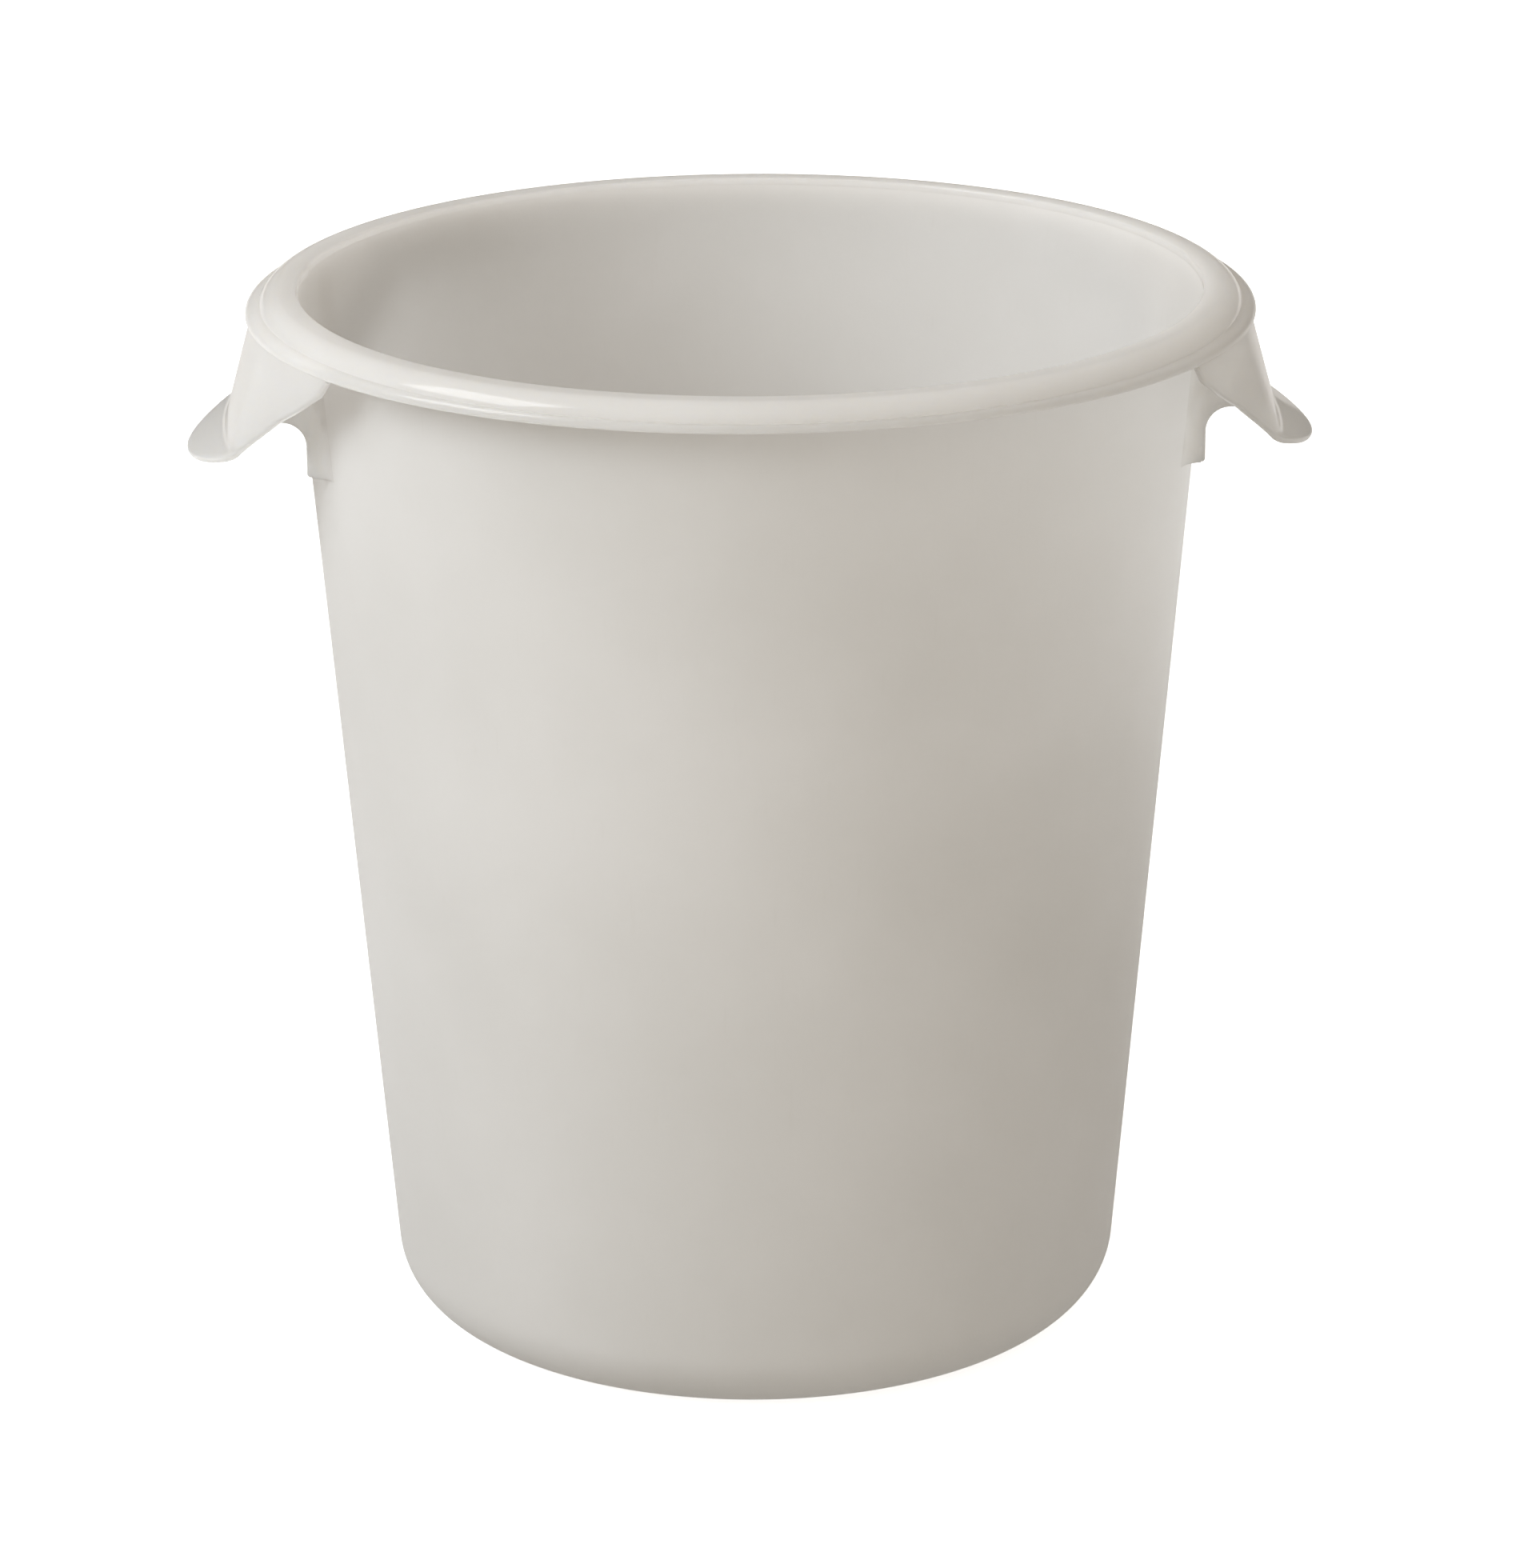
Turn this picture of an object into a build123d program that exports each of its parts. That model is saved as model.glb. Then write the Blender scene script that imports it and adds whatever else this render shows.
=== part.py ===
"""Round moulded wastebasket with a rolled rim and two hooded side grips.

The real article is a single plastic moulding.  It is built here as the moulded features
that make it up, each a separate solid that meets its neighbours face to face.
Frame: +Z up, origin at the centre of the resting plane, grips on the +X and -X sides.
"""
import os
from math import asin, cos, radians, sin, sqrt, tan

from build123d import *

# Overall shell
HEIGHT = 355.6
OPENING_RADIUS = 149.0
WALL_THICKNESS = 2.2
WALL_DRAFT = radians(4.79)

# Base: a flat foot inside a large round corner, with the floor raised within it
BASE_CORNER_RADIUS = 23.2
FOOT_INNER_RADIUS = 91.0
FLOOR_RECESS = 1.2
FLOOR_THICKNESS = 2.4

# Rolled rim: a flat land, then a quarter-round crown that ends above the bead
CROWN_RADIUS = 7.26
CROWN_LAND = 6.1
RIM_THICKNESS = 2.4
LAND_EDGE_RADIUS = 0.8
CROWN_FOOT_Z = 349.6

# Bead under the crown: an oval that swells towards the grips
BEAD_BOTTOM_Z = 346.8
BEAD_TOP_Z = 351.2
BEAD_SEMI_AXIS_X = 166.3
BEAD_SEMI_AXIS_Y = 162.4
BEAD_SHOULDER_RADIUS = 161.8
BEAD_SHOULDER_SLOPE = 0.75
BEAD_EDGE_RADIUS = 0.8

# Grip hood: an apron that hangs from the bead and leans outwards
HOOD_RADIUS = 164.4
HOOD_THICKNESS = 2.6
HOOD_BOTTOM_Z = 310.6
HOOD_LEAN = 0.27
HOOD_CORNER_LEAN = 0.065
HOOD_PANEL_HALF_WIDTH = 40.0
CHEEK_START = 38.0
CHEEK_END = 72.0
HOOD_POINT_COUNT = 17

# Lower edge of the hood as half-width and height: cheek bend, end hook and end
CHEEK_BEND = (61.0, 326.0)
HOOK_CORNER = (84.0, 339.6)
HOOD_END = (89.5, BEAD_BOTTOM_Z)
CHEEK_BEND_RADIUS = 25.0
HOOK_RADIUS = 4.0

# Grip lip: a flat tab that slopes out from the foot of the hood
LIP_ROOT_X = 174.0
LIP_TIP_X = 187.4
LIP_CORNER_X = 173.0
LIP_HALF_WIDTH = 43.0
LIP_SLOPE = radians(30.0)
LIP_THICKNESS = 2.6
LIP_EDGE_RADIUS = 1.1

# Grip webs: two plates under each hood that tie it to the wall
WEB_OFFSET = 44.0
WEB_THICKNESS = 3.0
WEB_START_X = 130.0
WEB_LEG_X = 146.2
WEB_FOOT_Z = 303.0
WEB_ARCH_Z = 321.4
WEB_ARCH_RADIUS = 8.0
WEB_FOOT_RADIUS = 1.2

# Sizes that follow from the driving dimensions
CROWN_CENTRE_R = OPENING_RADIUS + CROWN_LAND
CROWN_CENTRE_Z = HEIGHT - CROWN_RADIUS
LAND_UNDERSIDE_Z = HEIGHT - RIM_THICKNESS
INNER_CROWN_RADIUS = CROWN_RADIUS - RIM_THICKNESS
INNER_CORNER_RADIUS = BASE_CORNER_RADIUS - WALL_THICKNESS


def wall_radius(z):
    """Outer radius of the drafted wall at height z."""
    return OPENING_RADIUS + WALL_THICKNESS - (HEIGHT - z) * tan(WALL_DRAFT)


CORNER_CENTRE_R = wall_radius(BASE_CORNER_RADIUS) - BASE_CORNER_RADIUS / cos(WALL_DRAFT)


def corner_point(radius, fraction):
    """Point on the base corner: 0 at its foot, 1 where it runs into the wall."""
    angle = (radians(90) - WALL_DRAFT) * fraction
    r = CORNER_CENTRE_R + radius * sin(angle)
    z = BASE_CORNER_RADIUS - radius * cos(angle)
    return (r, z)


def crown_point(radius, fraction):
    """Point on the quarter-round: 0 at its top, 1 at the crown's foot."""
    foot_angle = asin((CROWN_FOOT_Z - CROWN_CENTRE_Z) / radius)
    angle = radians(90) - (radians(90) - foot_angle) * fraction
    return (CROWN_CENTRE_R + radius * cos(angle), CROWN_CENTRE_Z + radius * sin(angle))


def make_floor_panel():
    """Flat floor, raised off the resting plane inside the foot."""
    with BuildPart() as floor_panel:
        with BuildSketch(Plane.XY.offset(FLOOR_RECESS)):
            Circle(FOOT_INNER_RADIUS)
        extrude(amount=FLOOR_THICKNESS)
        chamfer(floor_panel.edges().sort_by(Axis.Z)[-1], length=FLOOR_THICKNESS / 2)
    return floor_panel


def make_base_ring():
    """Flat foot and the round corner that rises from it to the wall."""
    with BuildPart() as base_ring:
        with BuildSketch(Plane.XZ):
            with BuildLine():
                foot_outer = Line((FOOT_INNER_RADIUS, 0), corner_point(BASE_CORNER_RADIUS, 0))
                outer_arc = ThreePointArc(
                    foot_outer @ 1,
                    corner_point(BASE_CORNER_RADIUS, 0.5),
                    corner_point(BASE_CORNER_RADIUS, 1),
                )
                joint = Line(outer_arc @ 1, corner_point(INNER_CORNER_RADIUS, 1))
                inner_arc = ThreePointArc(
                    joint @ 1,
                    corner_point(INNER_CORNER_RADIUS, 0.5),
                    corner_point(INNER_CORNER_RADIUS, 0),
                )
                foot_inner = Line(inner_arc @ 1, (FOOT_INNER_RADIUS, WALL_THICKNESS))
                Line(foot_inner @ 1, foot_outer @ 0)
            make_face()
        revolve(axis=Axis.Z)
    return base_ring


def make_side_wall():
    """Drafted wall, from the base corner up to the underside of the rim's land."""
    inner_top = wall_radius(LAND_UNDERSIDE_Z) - WALL_THICKNESS / cos(WALL_DRAFT)
    with BuildPart() as side_wall:
        with BuildSketch(Plane.XZ):
            with BuildLine():
                Polyline(
                    corner_point(INNER_CORNER_RADIUS, 1),
                    corner_point(BASE_CORNER_RADIUS, 1),
                    (wall_radius(LAND_UNDERSIDE_Z), LAND_UNDERSIDE_Z),
                    (inner_top, LAND_UNDERSIDE_Z),
                    close=True,
                )
            make_face()
        revolve(axis=Axis.Z)
    return side_wall


def make_rim_crown():
    """Rim shell: the land around the opening and the quarter-round outside it."""
    with BuildPart() as rim_crown:
        with BuildSketch(Plane.XZ):
            with BuildLine():
                Polyline(
                    (CROWN_CENTRE_R, LAND_UNDERSIDE_Z),
                    (OPENING_RADIUS, LAND_UNDERSIDE_Z),
                    (OPENING_RADIUS, HEIGHT),
                    (CROWN_CENTRE_R, HEIGHT),
                )
                outer_arc = ThreePointArc(*(crown_point(CROWN_RADIUS, t) for t in (0, 0.5, 1)))
                Line(outer_arc @ 1, crown_point(INNER_CROWN_RADIUS, 1))
                ThreePointArc(*(crown_point(INNER_CROWN_RADIUS, t) for t in (1, 0.5, 0)))
            make_face()
        revolve(axis=Axis.Z)
        opening_edge = rim_crown.edges().filter_by(GeomType.CIRCLE).group_by(Axis.Z)[-1]
        fillet(opening_edge.sort_by(SortBy.RADIUS)[0], radius=LAND_EDGE_RADIUS)
    return rim_crown


def make_rim_bead():
    """Oval bead under the crown, with a sloping shoulder where it swells past it."""
    channel_radius = crown_point(INNER_CROWN_RADIUS, 1)[0]
    shoulder_width = BEAD_SEMI_AXIS_X - BEAD_SHOULDER_RADIUS + 1
    with BuildPart() as rim_bead:
        with BuildSketch(Plane.XY.offset(BEAD_BOTTOM_Z)):
            Ellipse(BEAD_SEMI_AXIS_X, BEAD_SEMI_AXIS_Y)
            Circle(channel_radius, mode=Mode.SUBTRACT)
        extrude(amount=BEAD_TOP_Z - BEAD_BOTTOM_Z)
        with BuildSketch(Plane.XZ):
            with BuildLine():
                crown_arc = ThreePointArc(*(crown_point(CROWN_RADIUS, t) for t in (0, 0.5, 1)))
                Polyline(crown_arc @ 1, (0, CROWN_FOOT_Z), (0, HEIGHT), crown_arc @ 0)
            make_face()
            with BuildLine():
                Polyline(
                    (BEAD_SHOULDER_RADIUS, BEAD_TOP_Z),
                    (
                        BEAD_SHOULDER_RADIUS + shoulder_width,
                        BEAD_TOP_Z - shoulder_width * BEAD_SHOULDER_SLOPE,
                    ),
                    (BEAD_SHOULDER_RADIUS + shoulder_width, BEAD_TOP_Z),
                    close=True,
                )
            make_face()
        revolve(axis=Axis.Z, mode=Mode.SUBTRACT)
        oval_edges = rim_bead.edges().group_by(Axis.Z)[0].sort_by(SortBy.LENGTH)[-1]
        fillet(oval_edges, radius=BEAD_EDGE_RADIUS)
    return rim_bead


def hood_lean(y):
    """Outward travel of the hood per unit of drop: full on the front panel, none at its ends."""
    panel = HOOD_LEAN + HOOD_CORNER_LEAN * (y / HOOD_PANEL_HALF_WIDTH) ** 2
    t = min(max((abs(y) - CHEEK_START) / (CHEEK_END - CHEEK_START), 0), 1)
    return panel * (1 - t * t * (3 - 2 * t))


def hood_points(z, inset):
    """Points of the hood's face at height z, inset from the outer face, from end to end."""
    points = []
    for i in range(HOOD_POINT_COUNT):
        y = HOOD_END[0] * (2 * i / (HOOD_POINT_COUNT - 1) - 1)
        x = sqrt((HOOD_RADIUS - inset) ** 2 - y**2) + hood_lean(y) * (BEAD_BOTTOM_Z - z)
        points.append((x, y))
    return points


def make_grip_hood():
    """Leaning apron of the +X grip, trimmed to its swept-up lower edge."""
    with BuildPart() as grip_hood:
        for z in (HOOD_BOTTOM_Z, BEAD_BOTTOM_Z):
            with BuildSketch(Plane.XY.offset(z)):
                with BuildLine():
                    outer = Spline(*hood_points(z, 0))
                    inner = Spline(*hood_points(z, HOOD_THICKNESS))
                    Line(outer @ 0, inner @ 0)
                    Line(outer @ 1, inner @ 1)
                make_face()
        loft(ruled=True)
        with BuildSketch(Plane.YZ):
            with BuildLine():
                rise = FilletPolyline(
                    (LIP_HALF_WIDTH, HOOD_BOTTOM_Z),
                    CHEEK_BEND,
                    HOOK_CORNER,
                    HOOD_END,
                    radius=(CHEEK_BEND_RADIUS, HOOK_RADIUS),
                )
                Polyline(rise @ 1, (HOOD_END[0], HOOD_BOTTOM_Z), rise @ 0)
            make_face()
            mirror(about=Plane.YZ)
        extrude(amount=LIP_TIP_X, mode=Mode.SUBTRACT)
    return grip_hood


def make_grip_lip(grip_hood):
    """Sloping tab of the +X grip: a plate with an arc for its outline and a rounded edge."""
    root = Plane(
        origin=(LIP_ROOT_X, 0, HOOD_BOTTOM_Z),
        x_dir=(cos(LIP_SLOPE), 0, -sin(LIP_SLOPE)),
        z_dir=(sin(LIP_SLOPE), 0, cos(LIP_SLOPE)),
    )
    tip = (LIP_TIP_X - LIP_ROOT_X) / cos(LIP_SLOPE)
    corner = (LIP_CORNER_X - LIP_ROOT_X) / cos(LIP_SLOPE)
    heel = corner - HOOD_THICKNESS / cos(LIP_SLOPE)
    with BuildPart() as grip_lip:
        with BuildSketch(root):
            with BuildLine():
                outline = ThreePointArc((corner, -LIP_HALF_WIDTH), (tip, 0), (corner, LIP_HALF_WIDTH))
                Polyline(outline @ 1, (heel, LIP_HALF_WIDTH), (heel, -LIP_HALF_WIDTH), outline @ 0)
            make_face()
        extrude(amount=-LIP_THICKNESS)
        fillet(grip_lip.edges().filter_by(GeomType.CIRCLE), radius=LIP_EDGE_RADIUS)
        add(grip_hood.part, mode=Mode.SUBTRACT)
    return grip_lip


def make_space_outside_hood():
    """Everything beyond the inner face of the +X hood, which cuts the webs to length."""
    with BuildPart() as space:
        for z in (HOOD_BOTTOM_Z, BEAD_BOTTOM_Z):
            with BuildSketch(Plane.XY.offset(z)):
                with BuildLine():
                    inner = Spline(*hood_points(z, HOOD_THICKNESS))
                    Polyline(inner @ 0, (LIP_TIP_X, -HOOD_END[0]), (LIP_TIP_X, HOOD_END[0]), inner @ 1)
                make_face()
        loft(ruled=True)
    return space


def make_grip_web(side, space_outside_hood):
    """Plate tying the +X hood to the wall, in front of the grip's middle (-1) or behind it (+1)."""
    with BuildPart() as grip_web:
        with BuildSketch(Plane.XZ.offset(-side * WEB_OFFSET)):
            with BuildLine():
                lower_edge = FilletPolyline(
                    (WEB_START_X, WEB_FOOT_Z),
                    (WEB_LEG_X, WEB_FOOT_Z),
                    (WEB_LEG_X, WEB_ARCH_Z),
                    (LIP_TIP_X, WEB_ARCH_Z),
                    radius=(WEB_FOOT_RADIUS, WEB_ARCH_RADIUS),
                )
                Polyline(
                    lower_edge @ 1,
                    (LIP_TIP_X, BEAD_BOTTOM_Z),
                    (WEB_START_X, BEAD_BOTTOM_Z),
                    lower_edge @ 0,
                )
            make_face()
        extrude(amount=WEB_THICKNESS / 2, both=True)
        with BuildSketch(Plane.XZ):
            with BuildLine():
                Polyline(
                    (0, WEB_FOOT_Z),
                    (wall_radius(WEB_FOOT_Z), WEB_FOOT_Z),
                    (wall_radius(BEAD_BOTTOM_Z), BEAD_BOTTOM_Z),
                    (0, BEAD_BOTTOM_Z),
                    close=True,
                )
            make_face()
        revolve(axis=Axis.Z, mode=Mode.SUBTRACT)
        add(space_outside_hood.part, mode=Mode.SUBTRACT)
    return grip_web


def mirrored(piece):
    """The same piece on the -X side."""
    with BuildPart() as copy:
        mirror(piece.part, about=Plane.YZ)
    return copy


pieces = {
    "floor_panel": make_floor_panel(),
    "base_ring": make_base_ring(),
    "side_wall": make_side_wall(),
    "rim_crown": make_rim_crown(),
    "rim_bead": make_rim_bead(),
}
right_hood = make_grip_hood()
space_outside_right_hood = make_space_outside_hood()
right_grip = {
    "grip_hood": right_hood,
    "grip_lip": make_grip_lip(right_hood),
    "grip_front_web": make_grip_web(-1, space_outside_right_hood),
    "grip_rear_web": make_grip_web(1, space_outside_right_hood),
}
for name, piece in right_grip.items():
    pieces["right_" + name] = piece
    pieces["left_" + name] = mirrored(piece)

os.makedirs("parts", exist_ok=True)
for name, piece in pieces.items():
    piece.part.label = name
    export_step(piece.part, f"parts/{name}.step")
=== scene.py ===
"""Looks of the moulded wastebasket: fine meshes, milky polyethylene, soft studio light.

Every piece stands for one CAD node, and its place and size come from that node's box.
Metres, +Z up, grips on the +X and -X sides, camera in front on the -Y side.
"""
from math import asin, atan2, cos, hypot, pi, radians, sin, sqrt, tan

import bmesh
import bpy
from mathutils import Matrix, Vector


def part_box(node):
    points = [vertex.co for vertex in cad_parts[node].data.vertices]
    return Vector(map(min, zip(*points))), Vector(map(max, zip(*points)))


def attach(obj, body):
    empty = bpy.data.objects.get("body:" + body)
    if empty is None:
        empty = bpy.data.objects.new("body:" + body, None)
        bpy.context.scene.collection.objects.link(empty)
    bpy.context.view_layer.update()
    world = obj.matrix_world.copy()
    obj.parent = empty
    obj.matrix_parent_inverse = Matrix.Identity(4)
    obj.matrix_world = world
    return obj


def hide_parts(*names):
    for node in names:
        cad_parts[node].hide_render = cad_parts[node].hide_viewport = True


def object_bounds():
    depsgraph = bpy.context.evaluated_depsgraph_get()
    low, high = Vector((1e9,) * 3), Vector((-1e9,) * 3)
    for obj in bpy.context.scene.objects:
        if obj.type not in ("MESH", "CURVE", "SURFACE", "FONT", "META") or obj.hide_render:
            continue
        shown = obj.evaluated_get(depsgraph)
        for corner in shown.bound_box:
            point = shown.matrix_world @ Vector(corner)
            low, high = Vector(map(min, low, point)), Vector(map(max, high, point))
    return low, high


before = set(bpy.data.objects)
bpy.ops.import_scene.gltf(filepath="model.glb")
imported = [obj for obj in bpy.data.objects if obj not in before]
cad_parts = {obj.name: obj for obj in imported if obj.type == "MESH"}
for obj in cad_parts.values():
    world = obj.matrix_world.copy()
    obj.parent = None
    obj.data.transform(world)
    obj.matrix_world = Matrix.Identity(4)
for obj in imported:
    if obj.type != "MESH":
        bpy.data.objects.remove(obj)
CAD_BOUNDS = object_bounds()

MM = 0.001
ROUND_SEGMENTS = 288
SHARP_ANGLE = radians(38)
WELD_DISTANCE = 1e-6
SAME_LENGTH = 0.02 * MM

# ---------------------------------------------------------------- sizes from the frame
WALL_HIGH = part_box("side_wall")[1]
RING_LOW, RING_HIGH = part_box("base_ring")
FLOOR_LOW, FLOOR_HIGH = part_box("floor_panel")
CROWN_LOW, CROWN_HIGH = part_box("rim_crown")
BEAD_LOW, BEAD_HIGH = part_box("rim_bead")
HOOD_LOW, HOOD_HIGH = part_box("right_grip_hood")
LIP_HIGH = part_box("right_grip_lip")[1]
WEB_LOW, WEB_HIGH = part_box("right_grip_rear_web")

# Wall, base corner and floor
WALL_THICKNESS = 2.2 * MM
OUTER_CORNER_RADIUS = 23.2 * MM
INNER_CORNER_RADIUS = OUTER_CORNER_RADIUS - WALL_THICKNESS
WALL_SLOPE = (WALL_HIGH.x - RING_HIGH.x) / (WALL_HIGH.z - RING_HIGH.z)
WALL_DRAFT = atan2(WALL_HIGH.x - RING_HIGH.x, WALL_HIGH.z - RING_HIGH.z)
FOOT_INNER_RADIUS = FLOOR_HIGH.x
SEAM_RISE = 2.0 * MM
FOOT_CHAMFER = 0.4 * MM
CORNER_STEPS = 28
WALL_STEPS = 24
FLOOR_BEVEL = 1.6 * MM
GATE_RADIUS = 7 * MM
GATE_DEPTH = 0.5 * MM
GATE_MARGIN = 1.2 * MM
GATE_STEPS = 4

# Rim
MOUTH_INSET = 2.0 * MM
OPENING_RADIUS = WALL_HIGH.x - MOUTH_INSET
MOUTH_EDGE_RADIUS = 0.9 * MM
RIM_THICKNESS = CROWN_HIGH.z - WALL_HIGH.z
CROWN_RADIUS = 7.26 * MM
CROWN_CENTRE_R = CROWN_HIGH.x - CROWN_RADIUS
CROWN_CENTRE_Z = CROWN_HIGH.z - CROWN_RADIUS
CROWN_INNER_RADIUS = CROWN_RADIUS - RIM_THICKNESS
CROWN_STEPS = 18
LAND_MARGIN = 1.0 * MM

# Groove between crown and bead; its crown side is given as (distance out, height) from its foot
GROOVE_RADIUS = CROWN_HIGH.x - 0.8 * MM
GROOVE_HEIGHT = 0.65 * MM
GROOVE_SIDE = ((0.38 * MM, 0.46 * MM), (0.14 * MM, 0.32 * MM), (0.04 * MM, 0.0))

# Bead: heights above its underside at the front and back, and what the swell adds at the grips
BEAD_EDGE_RADIUS = 0.8 * MM
BEAD_TOP_RISE = 2.9 * MM
BEAD_TOP_SWELL = 1.4 * MM
BEAD_NOSE_RISE = 1.0 * MM
BEAD_NOSE_SWELL = 0.1 * MM
BEAD_STEPS = 12


def wall_radius(z):
    """Outer radius of the drafted wall at height z."""
    return WALL_HIGH.x + (z - WALL_HIGH.z) * WALL_SLOPE


CORNER_CENTRE_R = wall_radius(OUTER_CORNER_RADIUS) - OUTER_CORNER_RADIUS / cos(WALL_DRAFT)


# ---------------------------------------------------------------- mesh helpers
def arc(centre, radius, start, end, steps):
    """Points on an arc, both ends included; angles from +r towards +z."""
    angles = [start + (end - start) * i / steps for i in range(steps + 1)]
    return [(centre[0] + radius * cos(a), centre[1] + radius * sin(a)) for a in angles]


def make_object(name, vertices, faces, contact=frozenset()):
    """Closed, smooth-shaded mesh object with its sharp edges kept.

    contact holds the numbers of the points where the piece meets its neighbours. A face with all
    its points among them is hidden in the moulding, and takes the second material.
    """
    mesh = bpy.data.meshes.new(name)
    mesh.from_pydata([tuple(v) for v in vertices], [], faces)
    for polygon in mesh.polygons:
        polygon.material_index = int(contact.issuperset(polygon.vertices))
    body = bmesh.new()
    body.from_mesh(mesh)
    bmesh.ops.remove_doubles(body, verts=body.verts, dist=WELD_DISTANCE)
    bmesh.ops.dissolve_degenerate(body, edges=body.edges, dist=WELD_DISTANCE)
    bmesh.ops.delete(body, geom=[e for e in body.edges if not e.link_faces], context="EDGES")
    bmesh.ops.recalc_face_normals(body, faces=body.faces)
    body.to_mesh(mesh)
    body.free()
    mesh.shade_smooth()
    mesh.set_sharp_from_angle(angle=SHARP_ANGLE)
    piece = bpy.data.objects.new(name, mesh)
    bpy.context.scene.collection.objects.link(piece)
    return piece


def tube_faces(loop_count, loop_size, closed):
    """Quads joining neighbouring loops of points, with caps at the ends if it isn't closed."""
    faces = []
    for i in range(loop_count if closed else loop_count - 1):
        j = (i + 1) % loop_count
        for a in range(loop_size):
            b = (a + 1) % loop_size
            faces.append((i * loop_size + a, i * loop_size + b, j * loop_size + b, j * loop_size + a))
    if not closed:
        faces.append(tuple(reversed(range(loop_size))))
        faces.append(tuple(range((loop_count - 1) * loop_size, loop_count * loop_size)))
    return faces


def contact_points(vertices, joint):
    """Numbers of the points whose radius and height pass the joint test."""
    return {i for i, (x, y, z) in enumerate(vertices) if joint(hypot(x, y), z)}


def lathe(name, outline, joint):
    """Closed outline of (radius, height) points turned about the Z axis."""
    vertices = []
    for i in range(ROUND_SEGMENTS):
        angle = 2 * pi * i / ROUND_SEGMENTS
        vertices += [(r * cos(angle), r * sin(angle), z) for r, z in outline]
    faces = tube_faces(ROUND_SEGMENTS, len(outline), True)
    return make_object(name, vertices, faces, contact_points(vertices, joint))


def near(a, b):
    """True where two lengths are the same but for rounding."""
    return abs(a - b) < SAME_LENGTH


def between(start, end, steps):
    """Evenly spaced points from start to end, both included."""
    return [
        (start[0] + (end[0] - start[0]) * i / steps, start[1] + (end[1] - start[1]) * i / steps)
        for i in range(steps + 1)
    ]


# ---------------------------------------------------------------- turned pieces
def make_floor_panel():
    """Floor disc with a shallow moulding gate at its middle and a bevelled top edge."""
    top, low, radius = FLOOR_HIGH.z, FLOOR_LOW.z, FLOOR_HIGH.x
    gate_floor = top - GATE_DEPTH
    outline = [(0, low), (radius, low), (radius, RING_LOW.z + WALL_THICKNESS)]
    outline += [(radius - FLOOR_BEVEL, top), (GATE_RADIUS + GATE_MARGIN, top)]
    outline += arc((GATE_RADIUS, gate_floor), GATE_DEPTH, pi / 2, 0, GATE_STEPS)
    outline += [(GATE_RADIUS, gate_floor), (0, gate_floor)]
    return lathe("floor_panel", outline, lambda r, z: near(r, radius))


def make_base_ring():
    """Flat foot and the large round corner, carried a little way up the wall."""
    tilt = -WALL_DRAFT
    seam_z = RING_HIGH.z + SEAM_RISE
    outer_centre = (CORNER_CENTRE_R, OUTER_CORNER_RADIUS)
    outer = arc(outer_centre, OUTER_CORNER_RADIUS, -pi / 2, tilt, CORNER_STEPS)
    inner = arc(outer_centre, INNER_CORNER_RADIUS, tilt, -pi / 2, CORNER_STEPS)
    thickness = WALL_THICKNESS / cos(WALL_DRAFT)
    seam = [(wall_radius(seam_z), seam_z), (wall_radius(seam_z) - thickness, seam_z)]
    foot = [(FOOT_INNER_RADIUS, WALL_THICKNESS), (FOOT_INNER_RADIUS, FLOOR_LOW.z)]
    foot += [(FOOT_INNER_RADIUS, FOOT_CHAMFER), (FOOT_INNER_RADIUS + FOOT_CHAMFER, 0)]
    return lathe(
        "base_ring",
        outer + seam + inner + foot,
        lambda r, z: near(z, seam_z) or near(r, FOOT_INNER_RADIUS) and z > FLOOR_LOW.z - SAME_LENGTH,
    )


def make_side_wall():
    """Thin drafted wall from the base corner to the underside of the rim."""
    seam_z = RING_HIGH.z + SEAM_RISE
    thickness = WALL_THICKNESS / cos(WALL_DRAFT)
    outer = between((wall_radius(seam_z), seam_z), (WALL_HIGH.x, WALL_HIGH.z), WALL_STEPS)
    inner = [(r - thickness, z) for r, z in reversed(outer)]
    return lathe("side_wall", outer + inner, lambda r, z: near(z, seam_z) or near(z, WALL_HIGH.z))


def make_rim_crown():
    """Flat land round the mouth and the quarter-round outside it."""
    centre = (CROWN_CENTRE_R, CROWN_CENTRE_Z)
    edge = MOUTH_EDGE_RADIUS
    foot_drop = CROWN_LOW.z - CROWN_CENTRE_Z
    outer_foot = asin((CROWN_LOW.z + GROOVE_HEIGHT - CROWN_CENTRE_Z) / CROWN_RADIUS)
    inner_foot = asin(foot_drop / CROWN_INNER_RADIUS)
    land_start = (OPENING_RADIUS + 1.6 * edge, CROWN_HIGH.z)
    land_end = (CROWN_CENTRE_R - LAND_MARGIN, CROWN_HIGH.z)
    outline = [(CROWN_CENTRE_R, WALL_HIGH.z), (WALL_HIGH.x, WALL_HIGH.z), (OPENING_RADIUS, WALL_HIGH.z)]
    outline += arc((OPENING_RADIUS + edge, CROWN_HIGH.z - edge), edge, pi, pi / 2, 6)
    outline += between(land_start, land_end, 3)
    outline += arc(centre, CROWN_RADIUS, pi / 2, outer_foot, CROWN_STEPS)
    outline += [(GROOVE_RADIUS + out, CROWN_LOW.z + rise) for out, rise in GROOVE_SIDE]
    outline += arc(centre, CROWN_INNER_RADIUS, inner_foot, pi / 2, 8)
    return lathe(
        "rim_crown",
        outline,
        lambda r, z: near(z, WALL_HIGH.z) and r < WALL_HIGH.x + SAME_LENGTH or near(z, CROWN_LOW.z),
    )


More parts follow.
